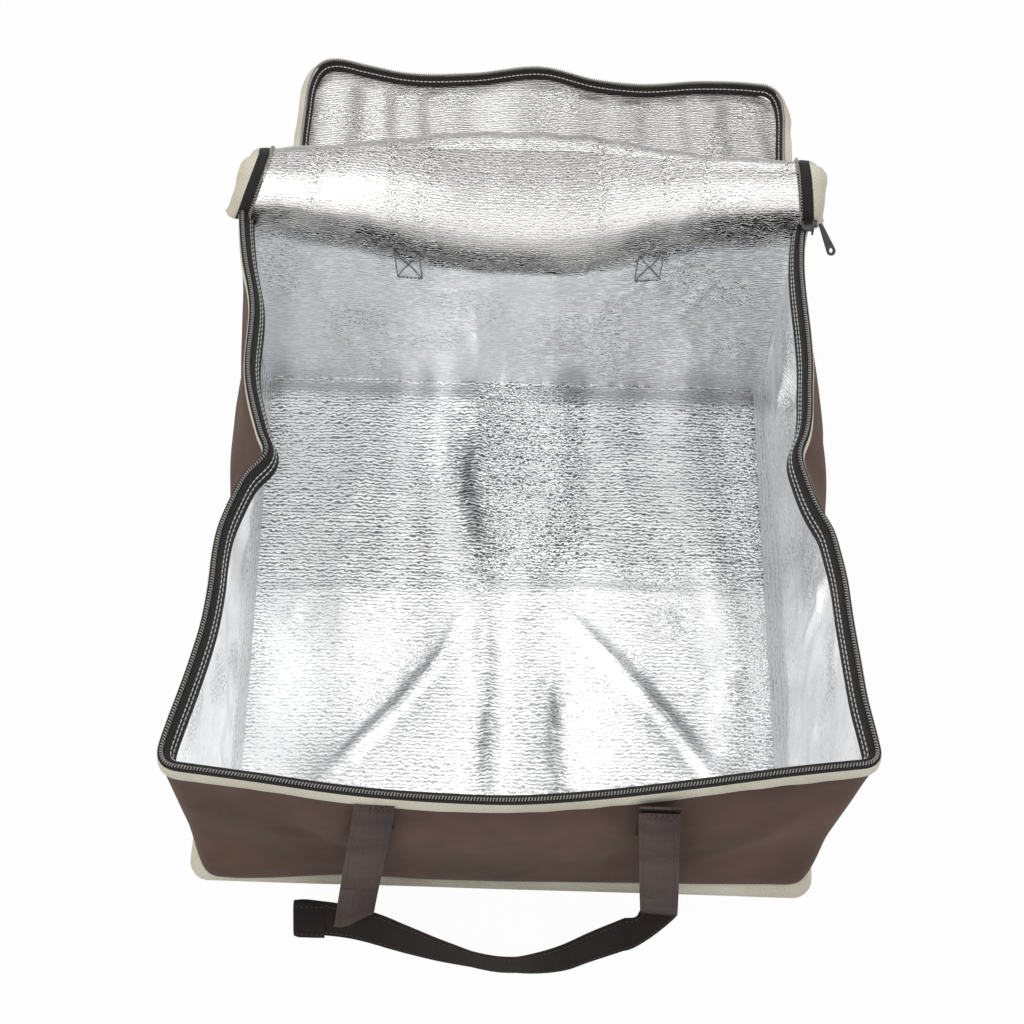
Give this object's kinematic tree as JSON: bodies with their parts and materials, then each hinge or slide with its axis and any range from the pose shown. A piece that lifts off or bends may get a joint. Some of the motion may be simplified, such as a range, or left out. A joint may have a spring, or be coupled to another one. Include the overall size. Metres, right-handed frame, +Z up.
{
  "type": "insulated food bag",
  "caption": "Soft box-shaped insulated carrier bag, standing open, with a zip-edged lid folded back over its rear wall, a foil lining and two carrying straps.",
  "frame": {"origin": "on the floor, under the middle of the bag base", "axes": "+Z up, +Y from the front wall towards the hinged lid, +X to the right as seen from the front"},
  "size_m": [0.4381, 0.7883, 0.2321],
  "materials": {
    "outer_cloth": "matte brown non-woven cloth",
    "cream_cloth": "matte cream non-woven binding",
    "strap_cloth": "matte dark brown folded cloth strap",
    "foam_sheet": "white closed-cell foam sheet",
    "foil_lining": "crinkled bright metallised film",
    "zip_tape": "black woven tape",
    "zip_coil": "dark nylon coil",
    "zip_metal": "black enamelled zinc",
    "stitch_thread": "sewing thread"
  },
  "bodies": {
    "bag": {"base_welt": "cream_cloth", "foam_base": "foam_sheet", "foam_front_wall": "foam_sheet", "foam_left_wall": "foam_sheet", "foam_rear_wall": "foam_sheet", "foam_right_wall": "foam_sheet", "front_strap_left_stitching": "stitch_thread", "front_strap_left_tab": "strap_cloth", "front_strap_right_stitching": "stitch_thread", "front_strap_right_tab": "strap_cloth", "lining_base": "foil_lining", "lining_front_wall": "foil_lining", "lining_left_wall": "foil_lining", "lining_rear_wall": "foil_lining", "lining_right_wall": "foil_lining", "outer_base": "outer_cloth", "outer_front_wall": "outer_cloth", "outer_left_wall": "outer_cloth", "outer_rear_wall": "outer_cloth", "outer_right_wall": "outer_cloth", "rear_strap_left_stitching": "stitch_thread", "rear_strap_left_tab": "strap_cloth", "rear_strap_right_stitching": "stitch_thread", "rear_strap_right_tab": "strap_cloth", "rim_binding": "cream_cloth", "rim_zip_coil": "zip_coil", "rim_zip_tape": "zip_tape", "zip_end_stop": "zip_metal"},
    "lid_crest": {"lid_crest_binding_left": "cream_cloth", "lid_crest_binding_right": "cream_cloth", "lid_crest_foam": "foam_sheet", "lid_crest_lining": "foil_lining", "lid_crest_outer": "outer_cloth", "lid_crest_zip_coil_left": "zip_coil", "lid_crest_zip_coil_right": "zip_coil", "lid_crest_zip_tape_left": "zip_tape", "lid_crest_zip_tape_right": "zip_tape"},
    "lid_slope": {"lid_slope_binding_left": "cream_cloth", "lid_slope_binding_right": "cream_cloth", "lid_slope_foam": "foam_sheet", "lid_slope_lining": "foil_lining", "lid_slope_outer": "outer_cloth", "lid_slope_zip_coil_left": "zip_coil", "lid_slope_zip_coil_right": "zip_coil", "lid_slope_zip_tape_left": "zip_tape", "lid_slope_zip_tape_right": "zip_tape"},
    "lid_end": {"lid_end_binding": "cream_cloth", "lid_end_foam": "foam_sheet", "lid_end_lining": "foil_lining", "lid_end_outer": "outer_cloth", "lid_end_zip_coil": "zip_coil", "lid_end_zip_tape": "zip_tape"},
    "front_strap": {"front_strap_left_leg": "strap_cloth", "front_strap_right_leg": "strap_cloth"},
    "front_grip": {"front_strap_grip": "strap_cloth"},
    "rear_strap": {"rear_strap_left_leg": "strap_cloth", "rear_strap_right_leg": "strap_cloth"},
    "rear_grip": {"rear_strap_grip": "strap_cloth"},
    "zip_slider": {"zip_slider": "zip_metal"},
    "zip_pull": {"zip_pull": "zip_metal"}
  },
  "joints": [
    {"name": "lid_fold", "type": "hinge", "parent": "bag", "child": "lid_crest", "pos_m": [0, 0.216, 0.222], "axis": [1, 0, 0], "range_deg": [0, 175]},
    {"name": "lid_crest_bend", "type": "hinge", "parent": "lid_crest", "child": "lid_slope", "pos_m": [0, 0.24887, 0.22488], "axis": [1, 0, 0], "range_deg": [0, 67]},
    {"name": "lid_slope_bend", "type": "hinge", "parent": "lid_slope", "child": "lid_end", "pos_m": [0, 0.36714, 0.00245], "axis": [-1, 0, 0], "range_deg": [0, 62]},
    {"name": "front_strap_swing", "type": "hinge", "parent": "bag", "child": "front_strap", "pos_m": [0.012, -0.22928, 0.17846], "axis": [-1, 0, 0], "range_deg": [0, 178]},
    {"name": "front_grip_bend", "type": "hinge", "parent": "front_strap", "child": "front_grip", "pos_m": [0.005, -0.24218, 0], "axis": [1, 0, 0], "range_deg": [0, 89]},
    {"name": "rear_strap_swing", "type": "hinge", "parent": "bag", "child": "rear_strap", "pos_m": [0.0075, 0.21494, 0.1874], "axis": [1, 0, 0], "range_deg": [0, 24]},
    {"name": "rear_grip_bend", "type": "hinge", "parent": "rear_strap", "child": "rear_grip", "pos_m": [0.006, 0.22384, 0], "axis": [-1, 0, 0], "range_deg": [0, 12]},
    {"name": "slider_run", "type": "slide", "parent": "bag", "child": "zip_slider", "axis": [-0.0319, -0.9995, 0], "range_m": [0, 0.14]},
    {"name": "pull_swing", "type": "hinge", "parent": "zip_slider", "child": "zip_pull", "pos_m": [0.20933, 0.2, 0.2059], "axis": [-0.829, -0.5592, 0], "range_deg": [0, 40]}
  ],
  "couplings": [
    {"joint": "lid_crest_bend", "follows": "lid_fold", "ratio": 0.38286},
    {"joint": "lid_slope_bend", "follows": "lid_fold", "ratio": 0.35429},
    {"joint": "front_grip_bend", "follows": "front_strap_swing", "ratio": 0.5},
    {"joint": "rear_grip_bend", "follows": "rear_strap_swing", "ratio": 0.5}
  ]
}
